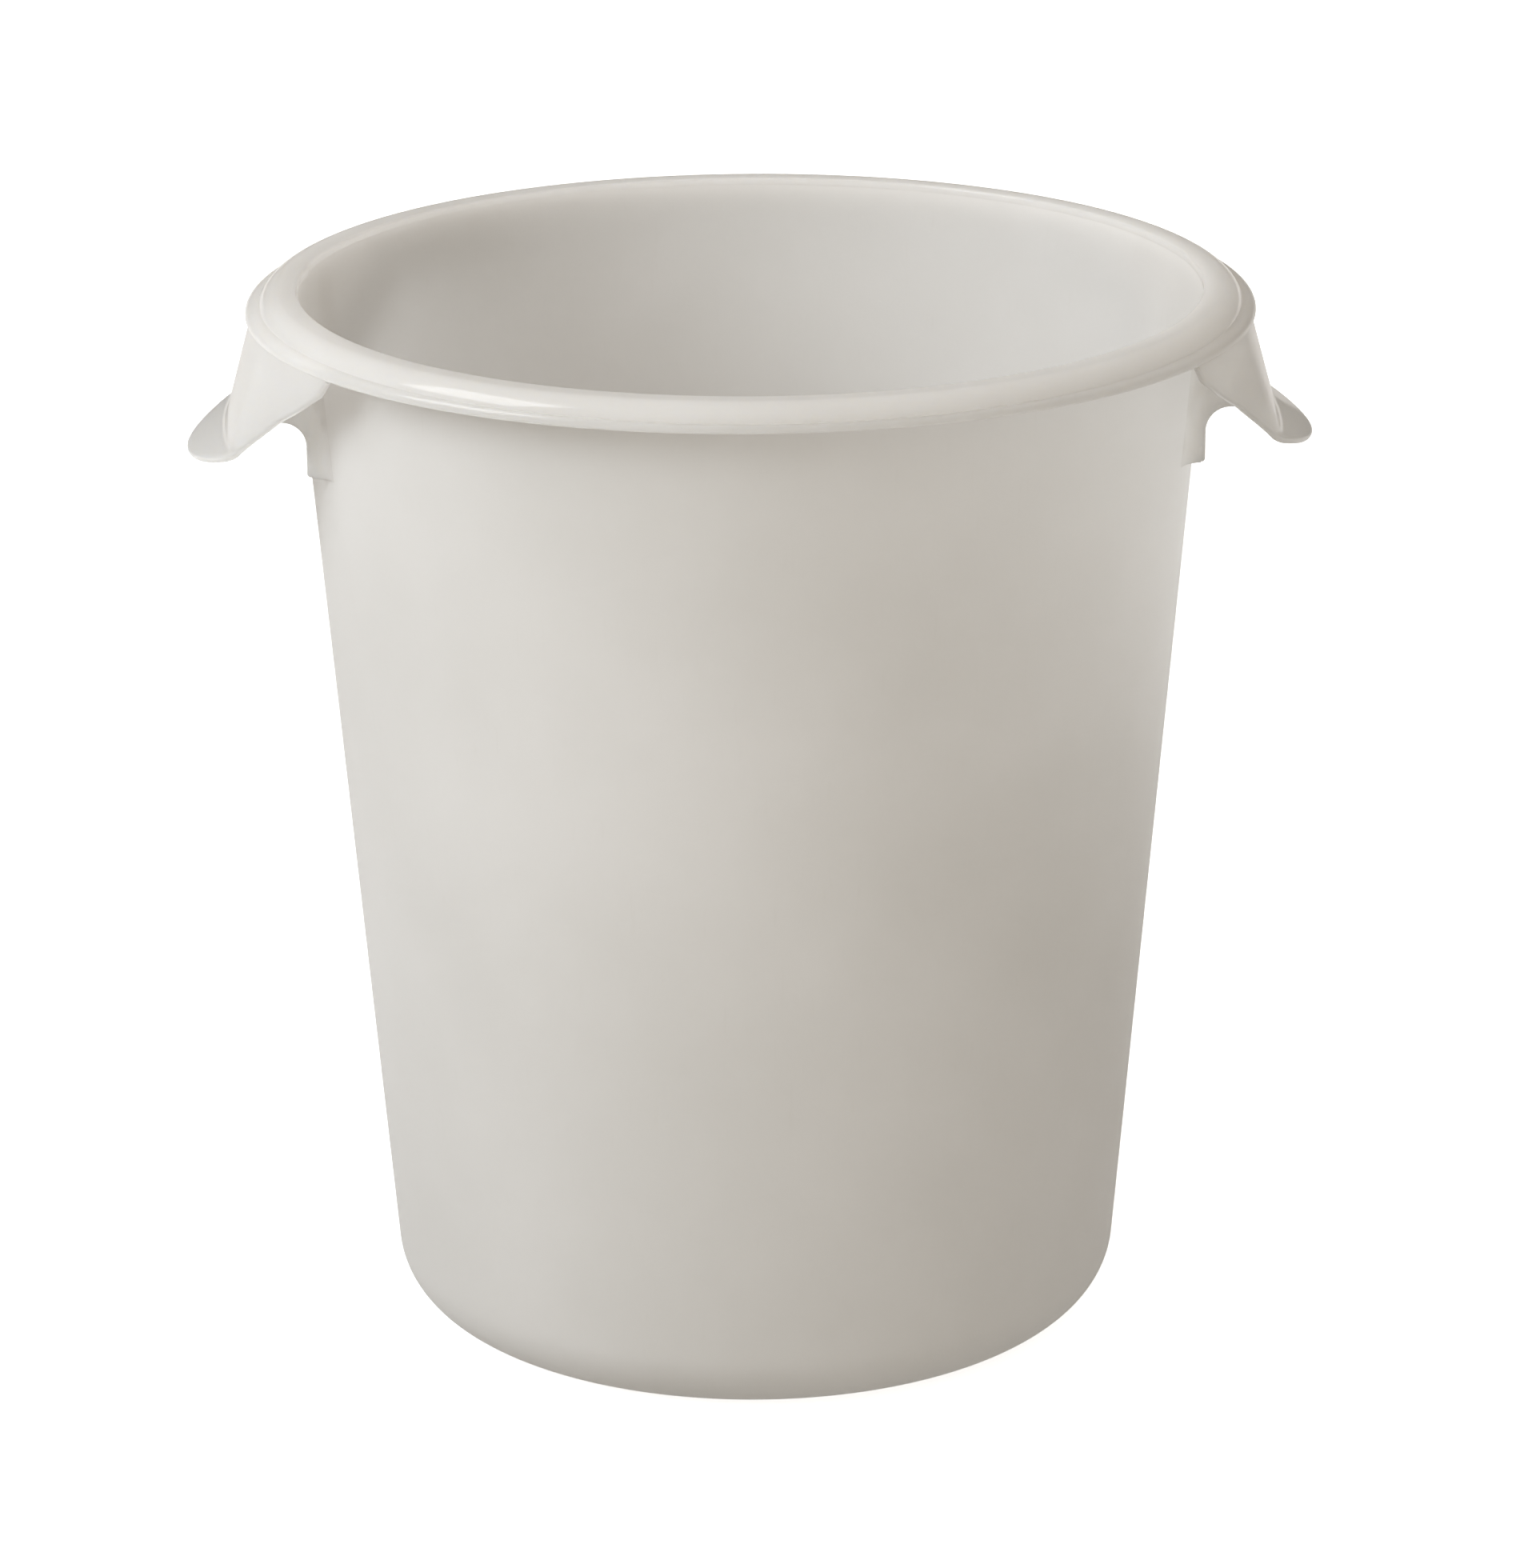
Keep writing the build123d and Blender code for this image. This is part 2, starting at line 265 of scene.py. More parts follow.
def make_rim_bead():
    """Oval bead whose section swells from a narrow band to a rounded nose at the grips."""
    semi_x, semi_y = BEAD_HIGH.x, BEAD_HIGH.y
    bottom = BEAD_LOW.z
    channel = CROWN_CENTRE_R + sqrt(CROWN_INNER_RADIUS**2 - (CROWN_LOW.z - CROWN_CENTRE_Z) ** 2)
    edge = BEAD_EDGE_RADIUS
    vertices = []
    for i in range(ROUND_SEGMENTS):
        angle = 2 * pi * i / ROUND_SEGMENTS
        radius = 1 / hypot(cos(angle) / semi_x, sin(angle) / semi_y)
        swell = (radius - semi_y) / (semi_x - semi_y)
        top = bottom + BEAD_TOP_RISE + BEAD_TOP_SWELL * swell
        nose = bottom + BEAD_NOSE_RISE + BEAD_NOSE_SWELL * swell
        section = [(channel, bottom)]
        section += arc((radius - edge, bottom + edge), edge, -pi / 2, 0, 5)
        section += [
            (GROOVE_RADIUS + (radius - GROOVE_RADIUS) * cos(t), nose + (top - nose) * sin(t))
            for t in (pi / 2 * k / BEAD_STEPS for k in range(1, BEAD_STEPS + 1))
        ]
        section += [(GROOVE_RADIUS, CROWN_LOW.z), (channel, CROWN_LOW.z)]
        vertices += [(r * cos(angle), r * sin(angle), z) for r, z in section]
    faces = tube_faces(ROUND_SEGMENTS, len(section), True)
    contact = contact_points(vertices, lambda r, z: near(z, CROWN_LOW.z))
    return make_object("rim_bead", vertices, faces, contact)


# ---------------------------------------------------------------- grips
GRIP_TOP_Z = HOOD_HIGH.z
GRIP_ROOT_DROP = HOOD_HIGH.z - HOOD_LOW.z
HOOD_END_Y = HOOD_HIGH.y
HOOD_THICKNESS = 2.6 * MM
HOOD_LEAN = 0.27
HOOD_CORNER_LEAN = 0.065
HOOD_PANEL_HALF_WIDTH = 40 * MM
CHEEK_START = 38 * MM
CHEEK_END = 72 * MM
HOOD_RADIUS = HOOD_HIGH.x - HOOD_LEAN * GRIP_ROOT_DROP
LIP_SLOPE = radians(30)
LIP_CORNER_Y = LIP_HIGH.y + 1 * MM
LIP_REACH = (LIP_HIGH.x - HOOD_HIGH.x) / cos(LIP_SLOPE)
ROOT_RADIUS = 4.5 * MM
LIP_START = GRIP_ROOT_DROP - 2.4 * MM
EDGE_BEND = (61 * MM, 20.8 * MM)
EDGE_HOOK = (84 * MM, 7.2 * MM)
EDGE_BEND_RADIUS = 30 * MM
EDGE_HOOK_RADIUS = 5 * MM
EDGE_END_DROP = 0.6 * MM
EDGE_SPACING = 1.2 * MM
LIP_EDGE_STEPS = 40
DOWN_STEPS = 14
LIP_STEPS = 20
EDGE_STEPS = 12
EDGE_SQUARENESS = 2.8
HOOD_TUCK = 0.9 * MM


def hood_lean(y):
    """Outward travel of the hood per unit of drop: full on the front panel, none at its ends."""
    panel = HOOD_LEAN + HOOD_CORNER_LEAN * (y / HOOD_PANEL_HALF_WIDTH) ** 2
    t = min(max((abs(y) - CHEEK_START) / (CHEEK_END - CHEEK_START), 0), 1)
    return panel * (1 - t * t * (3 - 2 * t))


def grip_surface(y, s):
    """Outer face of the +X grip at y, a distance s down the hood and on along the lip."""
    lean = hood_lean(y)
    x_top = sqrt(HOOD_RADIUS**2 - y**2)
    start = atan2(-1, lean)
    bend = -LIP_SLOPE - start
    flat = GRIP_ROOT_DROP - ROOT_RADIUS * tan(bend / 2)
    if s <= flat:
        return Vector((x_top + lean * s, y, GRIP_TOP_Z - s))
    turn = min((s - flat) / ROOT_RADIUS, bend)
    along = s - flat - turn * ROOT_RADIUS
    centre_x = x_top + lean * flat - ROOT_RADIUS * sin(start)
    centre_z = GRIP_TOP_Z - flat + ROOT_RADIUS * cos(start)
    heading = start + turn
    x = centre_x + ROOT_RADIUS * sin(heading) + along * cos(heading)
    z = centre_z - ROOT_RADIUS * cos(heading) + along * sin(heading)
    return Vector((x, y, z))


def grip_normal(y, s):
    """Unit normal of that face, pointing out of the grip."""
    step = 0.05 * MM
    across = grip_surface(y + step, s) - grip_surface(y - step, s)
    down = grip_surface(y, s + step) - grip_surface(y, s - step)
    normal = down.cross(across).normalized()
    return normal if normal.x > 0 else -normal


def rounded_path(corners, radii, steps=10):
    """Points along a polyline whose inner corners are rounded by arcs."""
    points = [Vector(corners[0])]
    for before, corner, after, radius in zip(corners, corners[1:], corners[2:], radii):
        before, corner, after = Vector(before), Vector(corner), Vector(after)
        u, v = (before - corner).normalized(), (after - corner).normalized()
        half = u.angle(v) / 2
        reach = radius / tan(half)
        centre = corner + (u + v).normalized() * (radius / sin(half))
        first, last = corner + u * reach - centre, corner + v * reach - centre
        sweep = first.angle(last)
        for k in range(steps + 1):
            t = k / steps
            weight_a, weight_b = sin((1 - t) * sweep) / sin(sweep), sin(t * sweep) / sin(sweep)
            points.append(centre + first * weight_a + last * weight_b)
    points.append(Vector(corners[-1]))
    return points


def resample(points, spacing):
    """The same path with points no further apart than the spacing."""
    result = [points[0]]
    for a, b in zip(points, points[1:]):
        count = max(1, int((b - a).length / spacing + 0.5))
        result += [a + (b - a) * (k / count) for k in range(1, count + 1)]
    return result


def grip_edge():
    """Free edge of the grip from its front end to its rear end, as (y, distance down the face)."""
    tip = GRIP_ROOT_DROP + LIP_REACH
    sag = LIP_REACH
    radius = (sag**2 + LIP_CORNER_Y**2) / (2 * sag)
    half = atan2(LIP_CORNER_Y, radius - sag)
    angles = [half * k / LIP_EDGE_STEPS for k in range(LIP_EDGE_STEPS + 1)]
    lip = [Vector((radius * sin(a), tip - radius * (1 - cos(a)))) for a in angles]
    corners = [tuple(lip[-1]), EDGE_BEND, EDGE_HOOK, (HOOD_END_Y, EDGE_END_DROP)]
    rise = rounded_path(corners, (EDGE_BEND_RADIUS, EDGE_HOOK_RADIUS))
    side = lip[:-1] + resample(rise, EDGE_SPACING)
    mirror = [Vector((-p.x, p.y)) for p in reversed(side)]
    return mirror[:-1] + side


def inset_edge(edge, distance):
    """The free edge moved into the face by a distance."""
    moved = []
    for k, point in enumerate(edge):
        ahead = edge[min(k + 1, len(edge) - 1)] - edge[max(k - 1, 0)]
        across = Vector((ahead.y, -ahead.x)).normalized()
        moved.append(point + across * distance)
    return moved


def grip_section(y, s_from, s_to, outward, rounded, steps):
    """Closed loop of points: down the outer face, round the edge and back up the inner face."""
    outer, inner = [], []
    for k in range(steps + 1):
        s = s_from + (s_to - s_from) * k / steps
        point = grip_surface(y, s)
        outer.append(point)
        inner.append(point - grip_normal(y, s) * HOOD_THICKNESS)
    normal = grip_normal(y, s_to)
    centre = (outer[-1] + inner[-1]) / 2
    radius = HOOD_THICKNESS / 2
    edge = []
    for k in range(1, EDGE_STEPS):
        angle = pi * k / EDGE_STEPS
        if rounded:
            up = abs(cos(angle)) ** (2 / EDGE_SQUARENESS) * (1 if angle < pi / 2 else -1)
            out = sin(angle) ** (2 / EDGE_SQUARENESS)
            edge.append(centre + (normal * up + outward * out) * radius)
        else:
            edge.append(centre + normal * (1 - 2 * k / EDGE_STEPS) * radius)
    return outer + edge + list(reversed(inner))


def grip_columns():
    """For each point along the free edge: y, its distance down the face, and its outward direction."""
    inset = inset_edge(grip_edge(), HOOD_THICKNESS / 2)
    inset = [Vector((p.x, max(p.y, 0.05 * MM))) for p in inset]
    path = inset[:1]
    for a, b in zip(inset, inset[1:]):
        if (a.y - LIP_START) * (b.y - LIP_START) < 0:
            share = (LIP_START - a.y) / (b.y - a.y)
            path.append(Vector((a.x + (b.x - a.x) * share, LIP_START)))
        path.append(b)
    points = [grip_surface(p.x, p.y) for p in path]
    columns = []
    for k, p in enumerate(path):
        tangent = (points[min(k + 1, len(path) - 1)] - points[max(k - 1, 0)]).normalized()
        outward = grip_normal(p.x, p.y).cross(tangent).normalized()
        down = grip_surface(p.x, p.y + 0.1 * MM) - points[k]
        if outward.dot(down) < 0:
            outward = -outward
        columns.append((p.x, p.y, outward))
    return columns


def make_grip_hood(name, columns):
    """Apron that hangs from the bead and leans outwards, with a rounded free edge beside the lip."""
    vertices, contact = [], set()

    def add_section(y, s, outward, rounded, meets_lip):
        section = grip_section(y, -HOOD_TUCK, s, outward, rounded, DOWN_STEPS)
        if meets_lip:
            first = len(vertices) + DOWN_STEPS
            contact.update(range(first, first + EDGE_STEPS + 1))
        vertices.extend(section)

    for y, s, outward in columns:
        if near(s, LIP_START):
            for rounded in ((True, False) if y < 0 else (False, True)):
                add_section(y, LIP_START, outward, rounded, True)
        elif s < LIP_START:
            add_section(y, s, outward, True, False)
        else:
            add_section(y, LIP_START, outward, False, True)
    size = 2 * DOWN_STEPS + EDGE_STEPS + 1
    return make_object(name, vertices, tube_faces(len(vertices) // size, size, False), contact)


def make_grip_lip(name, columns):
    """Sloping tab, filleted into the hood, with a half-round edge."""
    loops = [
        grip_section(y, LIP_START, s, outward, True, LIP_STEPS)
        for y, s, outward in columns
        if s > LIP_START - SAME_LENGTH
    ]
    size = len(loops[0])
    vertices = [p for loop in loops for p in loop]
    contact = set(range(size)) | set(range(len(vertices) - size, len(vertices)))
    contact |= {i for i in range(len(vertices)) if i % size in (0, size - 1)}
    return make_object(name, vertices, tube_faces(len(loops), size, False), contact)


WEB_Y = (WEB_LOW.y + WEB_HIGH.y) / 2
WEB_HALF_THICKNESS = (WEB_HIGH.y - WEB_LOW.y) / 2
WEB_FOOT_Z = WEB_LOW.z
WEB_LEG_X = 146.2 * MM
WEB_ARCH_Z = 321.4 * MM
WEB_ARCH_RADIUS = 8 * MM
WEB_FOOT_RADIUS = 1.2 * MM
WEB_EDGE_RADIUS = 1.0 * MM
WEB_OUTER_FILLET = 9.0 * MM
WEB_INNER_FILLET = 3.0 * MM
WEB_TUCK = 1.0 * MM
WEB_SPACING = 0.9 * MM
WALL_BITE = 0.05 * MM
WEB_FILLET_STEPS = 8
WEB_FLAT_SHARES = (0, 0.2, 0.4, 0.6, 0.75, 0.86, 0.92, 0.96, 0.98, 1)


def web_face(row_start, row_end, y_face, away, fillet, depth):
    """Points of one face of a web along a row: out of the wall by a fillet, then on to the free edge.

    away is the face's direction along Y, and depth(p) is how far its rounded edge has fallen back at p.
    """
    z = row_start.y
    radius = wall_radius(z)
    foot = sqrt(radius**2 - y_face**2)
    wall_angle = atan2(away * y_face, foot)
    turn = pi / 2 - wall_angle
    points = []
    reach = fillet * tan(turn / 2)
    for k in range(WEB_FILLET_STEPS):
        angle = turn * (1 - k / WEB_FILLET_STEPS)
        along = reach - fillet * sin(angle)
        out = fillet * (1 - cos(angle))
        x, y = foot + along, y_face + away * out
        if k == 0:
            x = sqrt((radius - WALL_BITE) ** 2 - y**2)
        points.append((x, y, z + (row_end.y - z) * max(0, along) / (row_end.x - foot)))
    for share in WEB_FLAT_SHARES:
        start_x = min(foot + reach, row_end.x - WEB_EDGE_RADIUS)
        x = start_x + (row_end.x - start_x) * share
        p = Vector((x, z + (row_end.y - z) * (x - foot) / (row_end.x - foot)))
        points.append((x, y_face - away * depth(p), p.y))
    return points


def make_grip_web(name, side):
    """Plate from the wall to the hood: an arched lower edge, and a broad fillet at the wall."""

    def hood_x(z):
        return grip_surface(WEB_Y, GRIP_TOP_Z - z).x - HOOD_THICKNESS

    def wall_x(z):
        return sqrt(wall_radius(z) ** 2 - WEB_Y**2)

    corners = [
        (wall_x(WEB_FOOT_Z), WEB_FOOT_Z),
        (WEB_LEG_X, WEB_FOOT_Z),
        (WEB_LEG_X, WEB_ARCH_Z),
        (hood_x(WEB_ARCH_Z) + WEB_TUCK, WEB_ARCH_Z),
    ]
    free = resample(rounded_path(corners, (WEB_FOOT_RADIUS, WEB_ARCH_RADIUS), 12), WEB_SPACING)
    hood_steps = 16
    rise = GRIP_TOP_Z - WEB_ARCH_Z
    heights = [WEB_ARCH_Z + rise * k / hood_steps for k in range(1, hood_steps + 1)]
    right = free + [Vector((hood_x(z) + WEB_TUCK, z)) for z in heights]
    right = [p for p in right if p.x > WEB_LEG_X - 2 * WEB_EDGE_RADIUS]

    def depth(p):
        gap = min(
            (p - (a + (b - a) * min(1, max(0, (p - a).dot(b - a) / (b - a).length_squared)))).length
            for a, b in zip(free, free[1:])
        )
        short = max(0.0, WEB_EDGE_RADIUS - gap)
        return WEB_EDGE_RADIUS - sqrt(WEB_EDGE_RADIUS**2 - short**2)

    lengths = [0.0]
    for a, b in zip(right, right[1:]):
        lengths.append(lengths[-1] + (b - a).length)
    loops = []
    for end, length in zip(right, lengths):
        z = WEB_FOOT_Z + (GRIP_TOP_Z - WEB_FOOT_Z) * (length / lengths[-1]) ** 0.9
        start = Vector((wall_x(z), z))
        outer = web_face(start, end, WEB_Y + WEB_HALF_THICKNESS, 1, WEB_OUTER_FILLET, depth)
        inner = web_face(start, end, WEB_Y - WEB_HALF_THICKNESS, -1, WEB_INNER_FILLET, depth)
        loops.append([(x, side * y, z) for x, y, z in outer + list(reversed(inner))])
    vertices = [p for loop in loops for p in loop]
    contact = contact_points(vertices, lambda r, z: r < wall_radius(z) + WALL_BITE)
    return make_object(name, vertices, tube_faces(len(loops), len(loops[0]), False), contact)


def mirrored(piece, name):
    """Copy of a +X piece on the -X side."""
    mesh = piece.data.copy()
    mesh.name = name
    body = bmesh.new()
    body.from_mesh(mesh)
    bmesh.ops.scale(body, vec=(-1, 1, 1), verts=body.verts)
    bmesh.ops.reverse_faces(body, faces=body.faces)
    body.to_mesh(mesh)
    body.free()
    copy = bpy.data.objects.new(name, mesh)
    bpy.context.scene.collection.objects.link(copy)
    return copy


# ---------------------------------------------------------------- materials
CLOUD_SCALE = 9.0
CLOUD_RANGE = (0.34, 0.66)
SPECKLE_SCALE = 900.0
STREAK_SCALE = (420.0, 420.0, 14.0)
SCUFF_RANGE = (0.62, 0.80)
FOOT_WEAR_HEIGHT = 12 * MM
WORN_TINT = (0.90, 0.89, 0.87, 1)
WORN_SHARE = 0.22
WORN_ROUGHNESS = 0.12
SMUDGE_SCALE = 28.0
SMUDGE_RANGE = (0.3, 0.7)
GRAIN_DEPTH = 0.06 * MM
SWELL_SCALE = 34.0
SWELL_DEPTH = 0.6 * MM
PLASTIC_IOR = 1.5
BLEED_RADIUS = (1.0, 0.95, 0.85)
PAPER_TINTS = ((0.86, 0.86, 0.86, 1), (0.90, 0.90, 0.90, 1))


def add(tree, kind, **settings):
    """New shader node; keywords set properties, or input sockets by name."""
    node = tree.nodes.new(kind)
    for key, value in settings.items():
        if hasattr(node, key):
            setattr(node, key, value)
        else:
            node.inputs[key.replace("_", " ")].default_value = value
    return node


def polyethylene(name, colours, roughness_range, specular, grain, waviness, see_through, bleed):
    """Milky natural polyethylene: colour clouds, moulded grain, faint scuffs, some light through it.

    bleed is how far light spreads under the surface, in metres.
    """
    material = bpy.data.materials.new(name)
    material.use_nodes = True
    tree = material.node_tree
    tree.nodes.clear()
    link = tree.links.new
    output = add(tree, "ShaderNodeOutputMaterial")
    place = add(tree, "ShaderNodeTexCoord")

    clouds = add(tree, "ShaderNodeTexNoise", Scale=CLOUD_SCALE, Detail=3.0, Roughness=0.55)
    link(place.outputs["Object"], clouds.inputs["Vector"])
    tint = add(tree, "ShaderNodeValToRGB")
    tint.color_ramp.elements[0].position = CLOUD_RANGE[0]
    tint.color_ramp.elements[0].color = (*colours[0], 1)
    tint.color_ramp.elements[1].position = CLOUD_RANGE[1]
    tint.color_ramp.elements[1].color = (*colours[1], 1)
    link(clouds.outputs["Fac"], tint.inputs["Fac"])

    speckle = add(tree, "ShaderNodeTexNoise", Scale=SPECKLE_SCALE, Detail=2.0, Roughness=0.6)
    link(place.outputs["Object"], speckle.inputs["Vector"])

    stretch = add(tree, "ShaderNodeMapping")
    stretch.inputs["Scale"].default_value = STREAK_SCALE
    link(place.outputs["Object"], stretch.inputs["Vector"])
    streaks = add(tree, "ShaderNodeTexNoise", Scale=1.0, Detail=4.0, Roughness=0.7)
    link(stretch.outputs["Vector"], streaks.inputs["Vector"])
    scuffs = add(tree, "ShaderNodeMapRange")
    scuffs.inputs["From Min"].default_value = SCUFF_RANGE[0]
    scuffs.inputs["From Max"].default_value = SCUFF_RANGE[1]
    link(streaks.outputs["Fac"], scuffs.inputs["Value"])

    height = add(tree, "ShaderNodeSeparateXYZ")
    link(place.outputs["Object"], height.inputs["Vector"])
    foot_wear = add(tree, "ShaderNodeMapRange", interpolation_type="SMOOTHSTEP")
    foot_wear.inputs["From Min"].default_value = FOOT_WEAR_HEIGHT
    foot_wear.inputs["From Max"].default_value = 0.0
    link(height.outputs["Z"], foot_wear.inputs["Value"])
    wear = add(tree, "ShaderNodeMath", operation="MULTIPLY_ADD")
    link(foot_wear.outputs["Result"], wear.inputs[0])
    link(clouds.outputs["Fac"], wear.inputs[1])
    link(scuffs.outputs["Result"], wear.inputs[2])

    worn = add(tree, "ShaderNodeMix", data_type="RGBA", blend_type="MULTIPLY")
    worn.inputs[7].default_value = WORN_TINT
    link(tint.outputs["Color"], worn.inputs[6])
    faint = add(tree, "ShaderNodeMath", operation="MULTIPLY")
    faint.inputs[1].default_value = WORN_SHARE
    link(wear.outputs["Value"], faint.inputs[0])
    link(faint.outputs["Value"], worn.inputs[0])

    smudges = add(tree, "ShaderNodeTexNoise", Scale=SMUDGE_SCALE, Detail=5.0, Roughness=0.62)
    link(place.outputs["Object"], smudges.inputs["Vector"])
    roughness = add(tree, "ShaderNodeMapRange")
    roughness.inputs["From Min"].default_value = SMUDGE_RANGE[0]
    roughness.inputs["From Max"].default_value = SMUDGE_RANGE[1]
    roughness.inputs["To Min"].default_value = roughness_range[0]
    roughness.inputs["To Max"].default_value = roughness_range[1]
    link(smudges.outputs["Fac"], roughness.inputs["Value"])
    rougher = add(tree, "ShaderNodeMath", operation="MULTIPLY_ADD", use_clamp=True)
    rougher.inputs[1].default_value = WORN_ROUGHNESS
    link(wear.outputs["Value"], rougher.inputs[0])
    link(roughness.outputs["Result"], rougher.inputs[2])

    fine = add(tree, "ShaderNodeBump", Strength=grain, Distance=GRAIN_DEPTH)
    link(speckle.outputs["Fac"], fine.inputs["Height"])
    swell = add(tree, "ShaderNodeTexNoise", Scale=SWELL_SCALE, Detail=1.0)
    link(place.outputs["Object"], swell.inputs["Vector"])
    wavy = add(tree, "ShaderNodeBump", Strength=waviness, Distance=SWELL_DEPTH)
    link(swell.outputs["Fac"], wavy.inputs["Height"])
    link(fine.outputs["Normal"], wavy.inputs["Normal"])

    plastic = add(tree, "ShaderNodeBsdfPrincipled")
    plastic.inputs["IOR"].default_value = PLASTIC_IOR
    plastic.inputs["Specular IOR Level"].default_value = specular
    plastic.inputs["Subsurface Weight"].default_value = 1.0 if bleed else 0.0
    plastic.inputs["Subsurface Radius"].default_value = BLEED_RADIUS
    plastic.inputs["Subsurface Scale"].default_value = bleed
    link(worn.outputs[2], plastic.inputs["Base Color"])
    link(rougher.outputs["Value"], plastic.inputs["Roughness"])
    link(wavy.outputs["Normal"], plastic.inputs["Normal"])
    through = add(tree, "ShaderNodeBsdfTranslucent")
    link(worn.outputs[2], through.inputs["Color"])
    link(wavy.outputs["Normal"], through.inputs["Normal"])
    blend = add(tree, "ShaderNodeMixShader")
    blend.inputs["Fac"].default_value = see_through
    link(plastic.outputs["BSDF"], blend.inputs[1])
    link(through.outputs["BSDF"], blend.inputs[2])
    link(blend.outputs["Shader"], output.inputs["Surface"])
    return material


def clear_joint():
    """Finish of the hidden contact faces, so that light runs on from piece to piece."""
    material = bpy.data.materials.new("clear_joint")
    material.use_nodes = True
    tree = material.node_tree
    tree.nodes.clear()
    output = add(tree, "ShaderNodeOutputMaterial")
    clear = add(tree, "ShaderNodeBsdfTransparent")
    tree.links.new(clear.outputs["BSDF"], output.inputs["Surface"])
    return material


def studio_white():
    """Pale floor paper with a faint unevenness."""
    material = bpy.data.materials.new("studio_paper")
    material.use_nodes = True
    tree = material.node_tree
    paper = tree.nodes["Principled BSDF"]
    place = add(tree, "ShaderNodeTexCoord")
    noise = add(tree, "ShaderNodeTexNoise", Scale=3.0, Detail=4.0)
    tint = add(tree, "ShaderNodeValToRGB")
    tint.color_ramp.elements[0].color = PAPER_TINTS[0]
    tint.color_ramp.elements[1].color = PAPER_TINTS[1]
    tree.links.new(place.outputs["Object"], noise.inputs["Vector"])
    tree.links.new(noise.outputs["Fac"], tint.inputs["Fac"])
    tree.links.new(tint.outputs["Color"], paper.inputs["Base Color"])
    paper.inputs["Roughness"].default_value = 0.95
    paper.inputs["Specular IOR Level"].default_value = 0.0
    paper.inputs["Emission Color"].default_value = (1, 1, 1, 1)
    paper.inputs["Emission Strength"].default_value = FLOOR_GLOW
    return material


# ---------------------------------------------------------------- stage, light and camera
FLOOR_GLOW = 0.70
ROOM_LIGHT = {
    (0, 0, 1): (0.82, 0.763, 0.705),
    (0, -1, 0): (0.59, 0.562, 0.50),
    (0, 1, 0): (0.20, 0.195, 0.18),
    (-1, 0, 0): (0.10, 0.098, 0.09),
    (1, 0, 0): (0.08, 0.078, 0.07),
}
SOFTBOXES = {
    "key_light": {
        "azimuth": -68,
        "elevation": 34,
        "size": (1.5, 1.0),
        "power": 35.0,
        "colour": (0.90, 0.955, 1.0),
        "only_mirrored": False,
    },
    "window_light": {
        "azimuth": -75,
        "elevation": 42,
        "size": (1.0, 0.90),
        "power": 16.0,
        "colour": (0.97, 0.985, 1.0),
        "only_mirrored": True,
    },
}
LIGHT_DISTANCE = 1.9
LIGHT_AIM = 0.6
FLOOR_SIZE = 40.0
CAMERA_YAW = radians(2.666)
CAMERA_PITCH = radians(18.533)
CAMERA_ROLL = radians(-0.301)
CAMERA_PLACE = (-0.0888, -1.9562, 0.8366)
LENS_MM = 140.03
SENSOR_MM = 36.0


def make_stage():
    """Large pale floor that the bin stands on."""
    half = FLOOR_SIZE / 2
    mesh = bpy.data.meshes.new("studio_floor")
    corners = [(-half, -half, 0), (half, -half, 0), (half, half, 0), (-half, half, 0)]
    mesh.from_pydata(corners, [], [(0, 1, 2, 3)])
    floor = bpy.data.objects.new("studio_floor", mesh)
    bpy.context.scene.collection.objects.link(floor)
    floor.location.z = CAD_BOUNDS[0][2]
    floor.data.materials.append(studio_white())
    floor.visible_diffuse = False
    floor.visible_transmission = False


def make_softbox(name, azimuth, elevation, size, power, colour, only_mirrored):
    """Rectangular light aimed at the middle of the bin; azimuth 0 is the camera's side, + is right.

    A light that is only mirrored shows in the plastic's gloss and lights nothing else.
    """
    middle = Vector((0, 0, CROWN_HIGH.z * LIGHT_AIM))
    a, e = radians(azimuth), radians(elevation)
    offset = Vector((sin(a) * cos(e), -cos(a) * cos(e), sin(e))) * LIGHT_DISTANCE
    lamp = bpy.data.lights.new(name, "AREA")
    lamp.shape = "RECTANGLE"
    lamp.size, lamp.size_y = size
    lamp.energy = power
    lamp.color = colour
    light = bpy.data.objects.new(name, lamp)
    light.location = middle + offset
    light.visible_glossy = only_mirrored
    light.visible_diffuse = not only_mirrored
    light.visible_transmission = not only_mirrored
    light.rotation_euler = (-offset).to_track_quat("-Z", "Y").to_euler()
    bpy.context.scene.collection.objects.link(light)


def make_world():
    """Soft room light: a sum of broad lobes, each brightest along its own direction."""
    world = bpy.data.worlds.new("studio")
    world.use_nodes = True
    tree = world.node_tree
    background = tree.nodes["Background"]
    place = add(tree, "ShaderNodeTexCoord")
    total = None
    for axis, colour in ROOM_LIGHT.items():
        facing = add(tree, "ShaderNodeVectorMath", operation="DOT_PRODUCT")
        facing.inputs[1].default_value = axis
        tree.links.new(place.outputs["Generated"], facing.inputs[0])
        amount = add(tree, "ShaderNodeMath", operation="MAXIMUM")
        tree.links.new(facing.outputs["Value"], amount.inputs[0])
        amount.inputs[1].default_value = 0.0
        lobe = add(tree, "ShaderNodeVectorMath", operation="SCALE")
        lobe.inputs[0].default_value = colour
        tree.links.new(amount.outputs["Value"], lobe.inputs["Scale"])
        if total:
            joined = add(tree, "ShaderNodeVectorMath", operation="ADD")
            tree.links.new(total, joined.inputs[0])
            tree.links.new(lobe.outputs["Vector"], joined.inputs[1])
            total = joined.outputs["Vector"]
        else:
            total = lobe.outputs["Vector"]
    tree.links.new(total, background.inputs["Color"])
    bpy.context.scene.world = world


